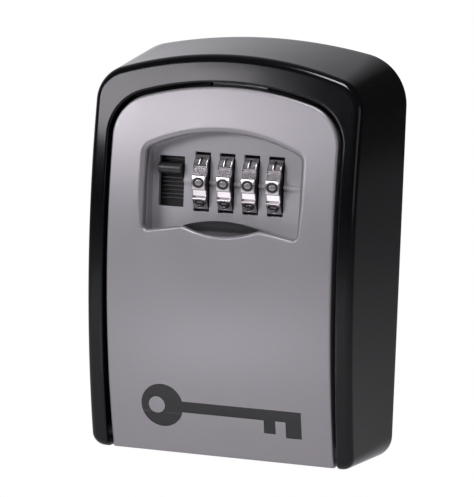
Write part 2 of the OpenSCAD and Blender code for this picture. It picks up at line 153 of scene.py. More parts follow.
def arched(half, top, arch_r, corner_r, low, low_r):
    """Right half of an arched outline from the top centre down to the bottom centre.

    The corner arc's centre lies arch_r - corner_r from the arch's centre, which makes the two
    arcs tangent. Returns an array of x and z, one row per point."""
    arch_z = top - arch_r
    corner_z = arch_z + math.sqrt((arch_r - corner_r) ** 2 - (half - corner_r) ** 2)
    lean = math.atan2(corner_z - arch_z, half - corner_r)
    a = np.linspace(math.pi / 2, lean, COUNTS["arch"], endpoint=False)
    b = np.linspace(lean, 0, COUNTS["corner"], endpoint=False)
    s = np.linspace(corner_z, low + low_r, COUNTS["side"], endpoint=False)
    c = np.linspace(0, -math.pi / 2, COUNTS["low"], endpoint=False)
    f = np.linspace(half - low_r, 0, COUNTS["foot"])
    x = [arch_r * np.cos(a), half - corner_r + corner_r * np.cos(b), np.full_like(s, half),
         half - low_r + low_r * np.cos(c), f]
    z = [arch_z + arch_r * np.sin(a), corner_z + corner_r * np.sin(b), s,
         low + low_r + low_r * np.sin(c), np.full_like(f, low)]
    return np.column_stack([np.concatenate(x), np.concatenate(z)])


def inset(outline, k):
    """The sizes of the same outline moved inwards by k."""
    half, top, arch_r, corner_r, low, low_r = outline
    return (half - k, top - k, arch_r - k, corner_r - k, low + k, max(low_r - k, 0.2))


def both_halves(right):
    """The whole closed outline, from its right half, which starts and ends on the centre line."""
    left = right[-2:0:-1] * [-1, 1]
    return np.vstack([right, left])


def ring_at(plan, depth):
    """Puts an x-z outline at a depth, which may differ from point to point."""
    depth = np.broadcast_to(depth, plan.shape[:1])
    return np.column_stack([plan[:, 0], -depth, plan[:, 1]])


def on_bow(depth_at, plan, sink=0.0):
    """Puts an outline on a bowed surface, or below it by sink."""
    return ring_at(plan, depth_at(plan[:, 1]) - sink)


# %% [markdown]
# ## From arrays to meshes
# A loft joins each ring of points to the next one with a strip of quads. The index arrays are
# worked out by arithmetic, so no loop runs over vertices. Points that coincide are merged and
# the normals are turned outwards, which is safe because every piece is a closed surface.

# %% Mesh helpers
def loft_faces(rows, columns, close_rows=False):
    """Quads between consecutive rings; the columns always close on themselves."""
    r = np.arange(rows if close_rows else rows - 1)[:, None]
    c = np.arange(columns)[None, :]
    r2, c2 = (r + 1) % rows, (c + 1) % columns
    quads = np.stack([r * columns + c, r * columns + c2, r2 * columns + c2, r2 * columns + c], -1)
    return quads.reshape(-1, 4)


def cap_faces(columns, first):
    """Closes a symmetric ring with strips that run straight across it."""
    i = np.arange(1, columns // 2)
    strips = np.stack([i, i + 1, columns - i - 1, columns - i], -1)
    strips = strips[strips[:, 1] < strips[:, 2]]
    ends = [[first, first + 1, first + columns - 1]]
    middle = columns // 2
    if columns % 2 == 0:
        ends.append([first + middle - 1, first + middle, first + middle + 1])
    return (strips + first).tolist() + ends


def grid_faces(rows, columns, first=0):
    """Quads of an open grid."""
    r = np.arange(rows - 1)[:, None]
    c = np.arange(columns - 1)[None, :]
    a = r * columns + c + first
    return np.stack([a, a + 1, a + columns + 1, a + columns], -1).reshape(-1, 4)


def add_object(name, data):
    """Puts a new object into the scene."""
    obj = bpy.data.objects.new(name, data)
    bpy.context.scene.collection.objects.link(obj)
    return obj


def closed_mesh(name, points, faces, merge_m, drop_m=0.0):
    """A mesh object made from millimetres, its near points merged and its normals turned outwards."""
    mesh = bpy.data.meshes.new(name)
    faces = faces.tolist() if hasattr(faces, "tolist") else faces
    mesh.from_pydata((np.asarray(points) / MM).tolist(), [], faces)
    b = bmesh.new()
    b.from_mesh(mesh)
    bmesh.ops.remove_doubles(b, verts=b.verts, dist=merge_m)
    if drop_m:
        bmesh.ops.dissolve_degenerate(b, edges=b.edges, dist=drop_m)
    bmesh.ops.recalc_face_normals(b, faces=b.faces)
    b.to_mesh(mesh)
    b.free()
    return add_object(name, mesh)


def smooth_up_to(mesh, smooth_deg):
    """Shades a mesh smoothly wherever its faces meet at less than an angle."""
    mesh.shade_smooth()
    mesh.set_sharp_from_angle(angle=math.radians(smooth_deg))


def stand_for(obj, body, material, node):
    """Gives a piece its material, and lets it ride on a body in the place of a node."""
    obj.data.materials.append(material)
    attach(obj, body)
    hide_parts(node)
    print(f"{obj.name}: {len(obj.data.vertices)} points, {len(obj.data.polygons)} faces")


def piece(name, points, faces, body, slot, material, node, smooth_deg=35.0):
    """Makes a visible piece from computed points."""
    obj = closed_mesh(name, points, faces, 2e-6, 1e-7)
    smooth_up_to(obj.data, smooth_deg)
    stand_for(obj, body, material, node)
    return obj


def even_shading(obj):
    """Shades a piece smoothly, with the large faces deciding the normals."""
    smooth_up_to(obj.data, 35.0)
    m = obj.modifiers.new("shading", "WEIGHTED_NORMAL")
    m.keep_sharp = True
    bake(obj)


def combine(obj, tools, operation):
    """Applies closed tool shapes to a piece, one after another, and removes the tools."""
    for tool in tools:
        m = obj.modifiers.new("combine", "BOOLEAN")
        m.operation, m.solver, m.object = operation, "EXACT", tool
        bake(obj)
        bpy.data.objects.remove(tool)


def cut(obj, tools):
    """Cuts closed tool shapes out of a piece."""
    combine(obj, tools, "DIFFERENCE")


def bake(obj):
    """Applies a piece's modifiers to its mesh."""
    bpy.context.view_layer.update()
    graph = bpy.context.evaluated_depsgraph_get()
    old = obj.data
    new = bpy.data.meshes.new_from_object(obj.evaluated_get(graph))
    obj.modifiers.clear()
    obj.data = new
    new.name = old.name
    bpy.data.meshes.remove(old)


def tool_shape(points, faces):
    """A closed shape that only serves to cut another or to be joined to it."""
    return closed_mesh("tool", points, faces, 1e-7)


def turned(profile, centre, axis, count):
    """A solid of revolution: a profile of (along, radius) pairs turned about an axis.

    The axis is 0 for X or 1 for the wall's normal, which points out of the wall."""
    profile = np.asarray(profile, float)
    t = np.linspace(0, 2 * math.pi, count, endpoint=False)
    r, along = profile[:, 1][:, None], np.broadcast_to(profile[:, 0][:, None], (len(profile), count))
    u, v = r * np.cos(t), r * np.sin(t)
    xyz = (along, u, v) if axis == 0 else (u, -along, v)
    points = np.stack(xyz, -1).reshape(-1, 3) + np.asarray(centre, float)
    return points, loft_faces(len(profile), count)


def box_shape(a, b):
    """A box between two corners given as x, depth, z."""
    x, d, z = np.meshgrid([a[0], b[0]], [a[1], b[1]], [a[2], b[2]], indexing="ij")
    points = np.stack([x, -d, z], -1).reshape(-1, 3)
    faces = [[0, 1, 3, 2], [4, 6, 7, 5], [0, 4, 5, 1], [2, 3, 7, 6], [0, 2, 6, 4], [1, 5, 7, 3]]
    return points, faces


# %% [markdown]
# ## Finishes
# The castings are painted, so their surface is the paint's: a very fine grain, a little
# unevenness in the gloss, a paler line along the outer edges that is partly rubbed paint and
# partly a painted highlight, and some dust on what faces up. Each of these is one node group,
# placed in every finish with its own values.
# A group only puts out masks, tones and heights; the shader stays in the material.

# %% Helper for node groups
def node_group(name, inputs, outputs):
    """An empty shader group with named value inputs and outputs, and its two end nodes."""
    g = bpy.data.node_groups.new(name, "ShaderNodeTree")
    for label, value in inputs.items():
        g.interface.new_socket(label, in_out="INPUT", socket_type="NodeSocketFloat").default_value = value
    for label in outputs:
        g.interface.new_socket(label, in_out="OUTPUT", socket_type="NodeSocketFloat")
    return g, g.nodes.new("NodeGroupInput").outputs, g.nodes.new("NodeGroupOutput").inputs


def math_node(tree, operation, a, b=None, c=None, clamp=False):
    """One arithmetic node; each argument is a number or another node's output."""
    node = tree.nodes.new("ShaderNodeMath")
    node.operation, node.use_clamp = operation, clamp
    for socket, value in zip(node.inputs, (a, b, c)):
        if isinstance(value, (int, float)):
            socket.default_value = value
        elif value is not None:
            tree.links.new(value, socket)
    return node.outputs[0]


def noise(tree, scale, detail, stretch=(1, 1, 1)):
    """Noise on the piece's own coordinates, optionally drawn out along an axis."""
    place = tree.nodes.new("ShaderNodeTexCoord").outputs["Object"]
    mapping = tree.nodes.new("ShaderNodeMapping")
    mapping.inputs["Scale"].default_value = stretch
    tree.links.new(place, mapping.inputs["Vector"])
    tex = tree.nodes.new("ShaderNodeTexNoise")
    tex.inputs["Detail"].default_value = detail
    tree.links.new(mapping.outputs[0], tex.inputs["Vector"])
    if isinstance(scale, (int, float)):
        tex.inputs["Scale"].default_value = scale
    else:
        tree.links.new(scale, tex.inputs["Scale"])
    return tex.outputs["Fac"]


# %% Paint grain: fine height and slow tone
grain_group, g_in, g_out = node_group("paint_grain", {"Scale": 3000.0, "Flow": 60.0}, ("Height", "Tone"))
grain_group.links.new(noise(grain_group, g_in["Scale"], 3.0), g_out["Height"])
grain_group.links.new(noise(grain_group, g_in["Flow"], 4.0), g_out["Tone"])

# %% Edge rub and painted edge highlight: outer edges made paler, broken up so that it is never an even line
rub_and_highlight_group, r_in, r_out = node_group("edge_rub_and_highlight", {"Start": 0.53, "Amount": 0.3}, ("Mask",))
outward = rub_and_highlight_group.nodes.new("ShaderNodeNewGeometry").outputs["Pointiness"]
edge = math_node(rub_and_highlight_group, "MULTIPLY", math_node(rub_and_highlight_group, "SUBTRACT", outward, r_in["Start"]), 12.0, clamp=True)
broken = math_node(rub_and_highlight_group, "MULTIPLY", edge, noise(rub_and_highlight_group, 500.0, 6.0))
rub_and_highlight_group.links.new(math_node(rub_and_highlight_group, "MULTIPLY", broken, r_in["Amount"], clamp=True), r_out["Mask"])

# %% Dust: what faces up keeps more of it
dust_group, d_in, d_out = node_group("settled_dust", {"Amount": 0.1}, ("Mask",))
up = dust_group.nodes.new("ShaderNodeSeparateXYZ")
dust_group.links.new(dust_group.nodes.new("ShaderNodeNewGeometry").outputs["Normal"], up.inputs[0])
facing = math_node(dust_group, "MULTIPLY_ADD", up.outputs["Z"], 0.6, 0.4, clamp=True)
specks = math_node(dust_group, "POWER", noise(dust_group, 900.0, 8.0), 3.0)
lying = math_node(dust_group, "MULTIPLY", facing, specks)
settled = math_node(dust_group, "MULTIPLY", lying, d_in["Amount"], clamp=True)
dust_group.links.new(settled, d_out["Mask"])

# %% Fine scratches, drawn out along X, as turning and brushing leave them
turning_group, t_in, t_out = node_group("turning_marks", {"Scale": 600.0}, ("Height",))
turning_group.links.new(noise(turning_group, t_in["Scale"], 5.0, (9.0, 1.0, 1.0)), t_out["Height"])
print("groups:", [g.name for g in bpy.data.node_groups])


# %% One function for every finish
def finish(name, colour, rough, metal=0.0, tone=0.06, gloss_spread=0.08, grain=(3000.0, 0.004),
           rub_and_highlight=0.0, rub_and_highlight_colour=(0.5, 0.5, 0.52), dust=0.0, turned_marks=0.0, ink_and_painted_shade=None, specular=0.5,
           flow=60.0):
    """A finish: a base colour that drifts by tone, a roughness that drifts by gloss_spread,
    grain (scale per metre, depth in mm), paler outer edges that are partly rubbed paint and partly a painted
    highlight, dust, and a mask attribute where asked, which paints black ink and painted shade."""
    m = bpy.data.materials.new(name)
    m.use_nodes = True
    tree, bsdf = m.node_tree, m.node_tree.nodes["Principled BSDF"]
    link = tree.links.new

    def placed(group, **values):
        node = tree.nodes.new("ShaderNodeGroup")
        node.node_tree = group
        for label, value in values.items():
            node.inputs[label].default_value = value
        return node.outputs

    def mixed(fac, a, b):
        node = tree.nodes.new("ShaderNodeMix")
        node.data_type = "RGBA"
        for socket, value in zip((node.inputs["Factor"], node.inputs["A"], node.inputs["B"]), (fac, a, b)):
            if isinstance(value, (int, float)):
                socket.default_value = value
            elif isinstance(value, tuple):
                socket.default_value = (*value, 1.0) if len(value) == 3 else value
            else:
                link(value, socket)
        return next(o for o in node.outputs if o.type == "RGBA")

    paint = placed(grain_group, Scale=grain[0], Flow=flow)
    dark, light = (tuple(c * (1 + s * tone) for c in colour) for s in (-1, 1))
    base = mixed(paint["Tone"], dark, light)
    gloss = math_node(tree, "MULTIPLY_ADD", paint["Tone"], gloss_spread, rough - gloss_spread / 2)
    height = paint["Height"]
    # paler outer edges: partly rubbed paint, partly a painted highlight
    if rub_and_highlight:
        worn_and_highlit = placed(rub_and_highlight_group, Amount=rub_and_highlight)["Mask"]
        base = mixed(worn_and_highlit, base, rub_and_highlight_colour)
    if dust:
        grey = placed(dust_group, Amount=dust)["Mask"]
        base = mixed(grey, base, (0.45, 0.44, 0.42))
        gloss = math_node(tree, "MULTIPLY_ADD", grey, 0.4, gloss, clamp=True)
    if turned_marks:
        marks = placed(turning_group)["Height"]
        height = math_node(tree, "MULTIPLY_ADD", marks, turned_marks, height)
        gloss = math_node(tree, "MULTIPLY_ADD", marks, 0.1, gloss, clamp=True)
    # the mask turns the finish into black paint: the digits' ink, and painted shade on the dials' sides
    if ink_and_painted_shade:
        mask = tree.nodes.new("ShaderNodeAttribute")
        mask.attribute_name = ink_and_painted_shade
        base = mixed(mask.outputs["Fac"], base, (0.008, 0.008, 0.009))
        gloss = math_node(tree, "MULTIPLY_ADD", mask.outputs["Fac"], 0.3, gloss, clamp=True)
        link(math_node(tree, "MULTIPLY_ADD", mask.outputs["Fac"], -metal, metal, clamp=True), bsdf.inputs["Metallic"])
    link(base, bsdf.inputs["Base Color"])
    link(gloss, bsdf.inputs["Roughness"])
    bsdf.inputs["Metallic"].default_value = metal
    bsdf.inputs["Specular IOR Level"].default_value = specular
    bump = tree.nodes.new("ShaderNodeBump")
    bump.inputs["Strength"].default_value = 1.0
    bump.inputs["Distance"].default_value = grain[1] / MM
    link(height, bump.inputs["Height"])
    link(bump.outputs[0], bsdf.inputs["Normal"])
    return m


# %% [markdown]
# The case is a black paint with a soft gloss, the door and the lock's case a silver-grey paint
# with fine metal in it, so that it brightens towards the light. The dials are nickel plated.
# Everything else is moulded black or grey, brass, or bright steel.

# %% The object's finishes
black_paint = finish("black_paint", (0.003, 0.003, 0.0036), 0.13, tone=0.2, grain=(2600, 0.0022), rub_and_highlight=0.12,
                     rub_and_highlight_colour=(0.12, 0.12, 0.125), dust=0.02, specular=0.28)
silver_paint = finish("silver_paint", (0.285, 0.276, 0.29), 0.38, metal=0.5, tone=0.035,
                      grain=(5200, 0.0035), rub_and_highlight=0.25, rub_and_highlight_colour=(0.6, 0.6, 0.62), dust=0.05)
lock_paint = finish("lock_paint", (0.36, 0.355, 0.37), 0.42, metal=0.35, tone=0.05,
                    grain=(4200, 0.003), rub_and_highlight=0.25, rub_and_highlight_colour=(0.6, 0.6, 0.62), dust=0.05)
emblem_paint = finish("emblem_paint", (0.010, 0.010, 0.012), 0.42, tone=0.3, grain=(2500, 0.006), rub_and_highlight=0.3,
                      rub_and_highlight_colour=(0.2, 0.2, 0.21), dust=0.06)
shutter_black = finish("shutter_black", (0.009, 0.009, 0.010), 0.35, tone=0.2, grain=(1800, 0.004), dust=0.02,
                       specular=0.3)
slider_black = finish("slider_black", (0.0075, 0.0075, 0.0085), 0.3, tone=0.2, grain=(2200, 0.005), rub_and_highlight=0.5,
                      rub_and_highlight_colour=(0.09, 0.09, 0.095), dust=0.1)
guide_grey = finish("guide_grey", (0.05, 0.05, 0.053), 0.5, tone=0.15, grain=(1500, 0.008), dust=0.08)
cover_black = finish("cover_black", (0.022, 0.022, 0.025), 0.48, tone=0.15, grain=(1400, 0.012), rub_and_highlight=0.35,
                     rub_and_highlight_colour=(0.12, 0.12, 0.12), dust=0.1)
nickel = finish("nickel", (0.58, 0.56, 0.57), 0.17, metal=1.0, tone=0.05, gloss_spread=0.06,
                grain=(900, 0.002), turned_marks=1.0, ink_and_painted_shade="ink_and_painted_shade", flow=300)
bright_steel = finish("bright_steel", (0.60, 0.60, 0.61), 0.24, metal=1.0, grain=(1500, 0.002), turned_marks=1.5)
latch_steel = finish("latch_steel", (0.50, 0.50, 0.51), 0.32, metal=1.0, grain=(1500, 0.003), turned_marks=3.0)
spring_steel = finish("spring_steel", (0.42, 0.42, 0.44), 0.28, metal=1.0, grain=(1500, 0.002))
hub_brass = finish("hub_brass", (0.72, 0.52, 0.24), 0.30, metal=1.0, tone=0.1, grain=(1200, 0.003), turned_marks=2.0)
slide_red = finish("slide_red", (0.42, 0.05, 0.03), 0.42, tone=0.08, grain=(1600, 0.006), dust=0.08)
print(len(bpy.data.materials), "materials")


def repaint(material, *nodes):
    """Gives carried-over parts a finish, in the object's own material slots."""
    for node in nodes:
        for s in frame["nodes"][node].material_slots:
            s.link = "OBJECT"
            s.material = material


# %% [markdown]
# ## Housing
# The case is a deep zinc tray. Its sides lean in towards the front, its front edge is rounded
# and its bowed rim frames the door. Ring after ring is worked out from the back edge, over the
# sides and the rim and down into the cavity, and a loft joins them, so every rounding is real
# geometry. The bottom is open in front of the hinge, which a boolean cuts last.

# %% Housing outlines
side_draft, edge_round, back_wall = 3.1, 2.0, 3.0
back_round, ledge_round, floor_fillet, lip = 0.6, 0.4, 1.5, 0.6
back_rim = (half_w, top_z, 149.4, 14.3, low_z, 6.5)
front_rim = (half_w - side_draft, top_z - 3.7, 107.1, 9.65, low_z + 0.4, 3.6)
door_rim = (door_half, door_top, 85.6, 11.9, door_low, 0.5)
pocket = (door_half + door_gap, door_top + door_gap, 86.8, 13.1, low_z + 3.05, 0.5)
cavity = (door_half - 1.9, door_top - 0.85, 85.0, 10.0, low_z + 3.75, 2.0)


def outline(sizes, k=0.0):
    """A whole closed outline, moved inwards by k."""
    return both_halves(arched(*inset(sizes, k)))


def quarter(steps):
    """Steps round a quarter turn, each as 1 - sine and 1 - cosine."""
    return [(1 - math.sin(a), 1 - math.cos(a)) for a in np.linspace(0, math.pi / 2, steps + 1)]


# %% Housing rings
rings = []
for s, c in quarter(4):  # back edge
    rings.append(ring_at(outline(back_rim, back_round * s), back_round * c))
back_plan, front_plan = outline(back_rim), outline(front_rim)
front_start = rim_depth(front_plan[:, 1]) - edge_round
for t in np.linspace(0, 1, 14)[1:]:  # leaning sides
    rings.append(ring_at(back_plan * (1 - t) + front_plan * t, back_round + (front_start - back_round) * t))
for s, c in quarter(8)[1:]:  # front edge
    rings.append(on_bow(rim_depth, outline(front_rim, edge_round * c), edge_round * s))
rim_in, rim_out = outline(pocket, -lip), outline(front_rim, edge_round)
for t in (0.06, 0.3, 0.5, 0.7, 0.94):  # rim
    rings.append(on_bow(rim_depth, rim_out * (1 - t) + rim_in * t))
for s, c in quarter(5):  # inner lip of the rim
    rings.append(on_bow(rim_depth, outline(pocket, -lip * s), lip * c))
for t in (0.5, 1.0):  # wall of the door's pocket, and its ledge
    plan = outline(pocket)
    rings.append(ring_at(plan, (rim_depth(plan[:, 1]) - lip) * (1 - t) + ledge_d * t))
rings += [ring_at(outline(pocket, 0.15), ledge_d), ring_at(outline(cavity, -ledge_round), ledge_d)]
for s, c in quarter(3):  # ledge to cavity wall
    rings.append(ring_at(outline(cavity, -ledge_round * s), ledge_d - ledge_round * c))
for d in (15, 9, 5.5):
    rings.append(ring_at(outline(cavity), d))
for s, c in quarter(5)[1:]:  # fillet of the cavity's floor
    rings.append(ring_at(outline(cavity, floor_fillet * c), back_wall + floor_fillet * s))
columns = len(rings[0])
points = np.vstack(rings)
faces = loft_faces(len(rings), columns).tolist()
faces += cap_faces(columns, 0) + cap_faces(columns, (len(rings) - 1) * columns)
housing = piece("housing_casting", points, faces, "housing", "body_black", black_paint, "housing")

# %% [markdown]
# The tools that cut the housing: the opening below the door, whose sides flare by the same lip
# as the rim, the relief for the swinging door, the strike's pocket and four wall screw holes.

# %% Seams left by a cut
def close_seams(obj):
    """Splits each long open edge at the points that lie on it, and merges the two sides."""
    b = bmesh.new()
    b.from_mesh(obj.data)
    open_edges = [e for e in b.edges if e.is_boundary]
    ends = {v for e in open_edges for v in e.verts}
    for edge in sorted(open_edges, key=lambda e: -e.calc_length()):
        start, end = edge.verts
        way = end.co - start.co
        shares = sorted((v.co - start.co).dot(way) / way.length_squared for v in ends
                        if v not in (start, end) and (v.co - start.co).cross(way).length < 1e-7 * way.length)
        done = 0.0
        for share in (t for t in shares if 1e-4 < t < 1 - 1e-4):
            edge, start = bmesh.utils.edge_split(edge, start, (share - done) / (1 - done))
            edge = next(e for e in start.link_edges if end in e.verts)
            done = share
    bmesh.ops.remove_doubles(b, verts=b.verts, dist=1e-6)
    print(obj.name, "open edges left:", sum(1 for e in b.edges if not e.is_manifold))
    b.to_mesh(obj.data)
    b.free()


# %% Cut the housing
opening_half = door_half + door_gap - 0.01
rows = []
for z in (low_z - 2, *np.linspace(low_z + 0.42, low_z + 2.4, 9), low_z + 3.0, low_z + 3.6):
    low_edge = max(0.0, low_z + 2.4 - z)
    front = rim_depth(z) - edge_round + math.sqrt(max(edge_round**2 - min(low_edge, edge_round) ** 2, 0))
    t = np.radians(np.linspace(0, 80, 6))
    x = np.concatenate([[opening_half, opening_half], opening_half + lip * (1 - np.cos(t)), [opening_half + lip]])
    d = np.concatenate([[relief_d, relief_d + 4], front - lip * (1 - np.sin(t)), [front + 3]])
    rows.append(np.column_stack([np.r_[x, -x[::-1]], -np.r_[d, d[::-1]], np.full(2 * len(x), z)]))
sides = len(rows[0])
flare = loft_faces(len(rows), sides).tolist()
flare += [list(range(sides)), list(range((len(rows) - 1) * sides, len(rows) * sides))]
strike_half, strike_reach = 8.6, 1.8
hole_r, sink_r, hole_x, hole_z = 2.5, 4.0, 20, 30
tools = [tool_shape(np.vstack(rows), flare),
         tool_shape(*box_shape((-opening_half, relief_d, low_z + 2.5), (opening_half, ledge_d + 0.6, relief_top))),
         tool_shape(*box_shape((-strike_half, axis_d - strike_reach, door_top - 6),
                               (strike_half, axis_d + strike_reach, door_top + 3.8)))]
hole = [(-1, 0), (-1, hole_r), (0.3, hole_r), (back_wall / 2, hole_r), (back_wall, sink_r),
        (back_wall + 1, sink_r + 1), (back_wall + 1, 0)]
tools += [tool_shape(*turned(hole, (x, 0, z), 1, 48)) for x in (-hole_x, hole_x) for z in (-hole_z, hole_z)]
cut(housing, tools)
close_seams(housing)
even_shading(housing)
print("housing after cutting:", len(housing.data.polygons), "faces")

# %% [markdown]
# ## Door
# The door is one casting: a bowed skin with a skirt behind its edge, and a window whose lower
# edge dips in the middle, where a finger slides the shutter down. Window and door have outlines
# of the same kind, so a loft runs from the window's back edge, over its lip, across the bow,
# over the outer edge and back along the inside, and closes on itself.

# %% Window outline
window_half, window_top, window_low = 22.6, axis_z + 14.3, axis_z - 14.0
scoop_half, scoop_r, low_turn = 11.0, 27.5, 1.5
shoulder_rise = scoop_r - math.sqrt(scoop_r**2 - scoop_half**2)


def window_bottom(x):
    """Lower edge of the window: a scoop in the middle and falling shoulders beside it.

    The lower of the two curves, blended where they cross so that the crest is round."""
    x = np.abs(x)
    scoop = window_low + scoop_r - np.sqrt(scoop_r**2 - np.minimum(x, scoop_r - 1) ** 2)
    shoulder = window_low + shoulder_rise * (1 - 0.9 * (x - scoop_half) / (window_half - scoop_half))
    return (scoop + shoulder) / 2 - np.sqrt(((scoop - shoulder) / 2) ** 2 + 0.2**2)


DOOR_COUNTS = {"arch": 44, "corner": 26, "side": 44, "low": 12, "foot": 60}


def window_outline():
    """Right half of the window, with as many points in each stretch as the door's outline."""
    COUNTS.update(DOOR_COUNTS)
    plan = arched(window_half, window_top, 50.0, 2.5, window_low, 0.5)
    turn = np.radians(np.linspace(0, -100, DOOR_COUNTS["low"] + 1))[:-1]
    end_x = window_half - low_turn * (1 + math.sin(math.radians(10)))
    turn_z = float(window_bottom(end_x)) + low_turn * math.cos(math.radians(10))
    start = DOOR_COUNTS["arch"] + DOOR_COUNTS["corner"]
    end = start + DOOR_COUNTS["side"]
    plan[start:end, 1] = np.linspace(plan[start, 1], turn_z, DOOR_COUNTS["side"], endpoint=False)
    low = np.column_stack([window_half - low_turn + low_turn * np.cos(turn), turn_z + low_turn * np.sin(turn)])
    x = np.linspace(end_x, 0, DOOR_COUNTS["foot"])
    foot = np.column_stack([x, window_bottom(x)])
    return both_halves(np.vstack([plan[:end], low, foot]))


def outset(plan, k):
    """Moves a closed outline outwards by k along its own normals."""
    along = np.roll(plan, -1, 0) - np.roll(plan, 1, 0)
    along /= np.linalg.norm(along, axis=1)[:, None]
    k = np.broadcast_to(k, len(plan))[:, None]
    return plan + k * np.column_stack([-along[:, 1], along[:, 0]])


# %% Door rings
window = window_outline()
window_side = -1.0 if outset(window, 1.0)[0, 1] < window[0, 1] else 1.0


def door_outline(k, k_low=None):
    """The door's outline moved inwards by k, and by k_low at the bottom edge."""
    half, top, arch_r, corner_r, low, low_r = inset(door_rim, k)
    if k_low is not None:
        low = door_low + k_low
    return both_halves(arched(half, top, arch_r, corner_r, low, low_r))


edge_r, toe_r = 0.6, 0.8
# the window's lip is rounder at the top than at the finger's edge
lip_r = 0.8 + 0.8 * np.clip((window[:, 1] - axis_z + 12) / 8, 0, 1)
steps = COUNTS["arch"] + COUNTS["corner"] + COUNTS["side"]
blend_low = np.r_[np.zeros(steps), np.linspace(0, 1, COUNTS["low"]), np.ones(COUNTS["foot"])]
blend_low = np.r_[blend_low, blend_low[-2:0:-1]]
rings = []
for sink in (np.full_like(lip_r, skin), lip_r + 0.15):
    rings.append(on_bow(door_depth, window, sink))
for s, c in quarter(8):  # the window's lip
    rings.append(on_bow(door_depth, outset(window, window_side * lip_r * c), lip_r * s))
inner, outer = outset(window, window_side * lip_r), door_outline(edge_r, toe_r)
for t in (0.03, 0.1, *np.linspace(0.2, 0.8, 9), 0.9, 0.97):  # bowed front
    rings.append(on_bow(door_depth, inner * (1 - t) + outer * t))
for s, c in quarter(8):  # outer edge
    sink = (edge_r * (1 - blend_low) + toe_r * blend_low) * c
    rings.append(on_bow(door_depth, door_outline(edge_r * s, toe_r * s), sink))
edge_end = -rings[-1][:, 1]
back = skirt_back * (1 - blend_low) + toe_back * blend_low
for t in (0.3, 0.7, 1.0):  # skirt, outside
    rings.append(ring_at(door_outline(0.0), edge_end * (1 - t) + back * t))
rings.append(ring_at(door_outline(skin), back))
inside = door_outline(skin)
inner_skin = door_depth(inside[:, 1]) - skin
for t in (0.5, 1.0):  # skirt, inside
    rings.append(ring_at(inside, back * (1 - t) + (inner_skin - 0.6) * t))
soft = door_outline(skin + 0.6)
rings.append(on_bow(door_depth, soft, skin))
for t in np.linspace(0.15, 0.9, 7):  # inner skin
    rings.append(on_bow(door_depth, soft * (1 - t) + window * t, skin))
door = piece("door_casting", np.vstack(rings), loft_faces(len(rings), len(rings[0]), close_rows=True),
             "door", "door_silver", silver_paint, "door_panel")


# %% Knuckles inside the door
def joined(obj, shapes):
    """Unites closed shapes with a piece."""
    combine(obj, [tool_shape(*shape) for shape in shapes], "UNION")


def rod(x0, x1, r, depth, z):
    """A solid rod along X with rounded ends."""
    k = 0.4
    profile = [(x0, 0), (x0, r - k), (x0 + 0.3 * k, r - 0.3 * k), (x0 + k, r),
               (x1 - k, r), (x1 - 0.3 * k, r - 0.3 * k), (x1, r - k), (x1, 0)]
    return turned(profile, (0, -depth, z), 0, 48)


knuckle_r, knuckle_len = 4.05, 7.0
knuckles = []
for s in (-1, 1):
    x0, x1 = sorted((s * (door_half - knuckle_len), s * (door_half - 0.15)))
    knuckles.append(rod(x0, x1, knuckle_r, hinge_d, hinge_z))
joined(door, knuckles)


# %% Pocket for the emblem, and the holes for the hinge pins
key_z = low_z + 14.2
eye_r, pin_r = 2.4, 1.55


def key_plan():
    """A plain key as one closed outline: a round bow, a straight blade and two teeth."""
    bow_r, blade_half = 6.2, 1.6
    start = math.asin(blade_half / bow_r)
    a = np.linspace(start, 2 * math.pi - start, 72)
    bow = np.column_stack([-17 + bow_r * np.cos(a), key_z + bow_r * np.sin(a)])
    blade = np.array([(13, -blade_half), (13, -5.4), (16.4, -5.4), (16.4, -blade_half), (19.4, -blade_half),
                      (19.4, -6.2), (24, -6.2), (24, blade_half)]) + [0, key_z]
    return np.vstack([bow, blade])


def bowed_prism(plan, sink0, sink1):
    """A closed outline raised from sink1 to sink0 below the door's bowed surface."""
    n = len(plan)
    points = np.vstack([on_bow(door_depth, plan, sink) for sink in (sink0, sink1)])
    return points, loft_faces(2, n).tolist() + [list(range(n)), list(range(n, 2 * n))]


pocket_tool = tool_shape(*bowed_prism(key_plan(), -1.0, 0.6))
a = np.linspace(0, 2 * math.pi, 48, endpoint=False)
eye = np.column_stack([-18.6 + eye_r * np.cos(a), key_z + eye_r * np.sin(a)])
cut(pocket_tool, [tool_shape(*bowed_prism(eye, -3.0, 2.0))])
pin_hole = turned([(-40, 0), (-40, pin_r), (40, pin_r), (40, 0)], (0, -hinge_d, hinge_z), 0, 32)
cut(door, [pocket_tool, tool_shape(*pin_hole)])
even_shading(door)
print("door after cutting:", len(door.data.polygons), "faces")


# %% [markdown]
# ## Parts that keep their shape
# The lock's case and cover, the latch plate, the code slide and the emblem keep the model's own
# shape: a copy's edges are rounded, because no cast, stamped or moulded edge is truly sharp.

# %% Rounded copies
def softened(node, width, material):
    """A copy of a node's shape, its coinciding points merged and its edges rounded."""
    source = frame["nodes"][node]
    b = bmesh.new()
    b.from_mesh(source.data)
    bmesh.ops.remove_doubles(b, verts=b.verts, dist=1e-6)
    mesh = bpy.data.meshes.new(node + "_rounded")
    b.to_mesh(mesh)
    b.free()
    obj = add_object(node + "_rounded", mesh)
    m = obj.modifiers.new("edges", "BEVEL")
    m.width = width / MM
    m.segments = 2
    m.limit_method = "ANGLE"
    m.angle_limit = math.radians(40)
    m.miter_outer = "MITER_ARC"
    m.use_clamp_overlap = False
    bake(obj)
    even_shading(obj)
    stand_for(obj, body_of(source)[0], material, node)


softened("lock_case", 0.15, lock_paint)
softened("key_emblem", 0.1, emblem_paint)
softened("rear_cover", 0.3, cover_black)
softened("latch_plate", 0.25, latch_steel)
softened("code_change_slide", 0.15, slide_red)

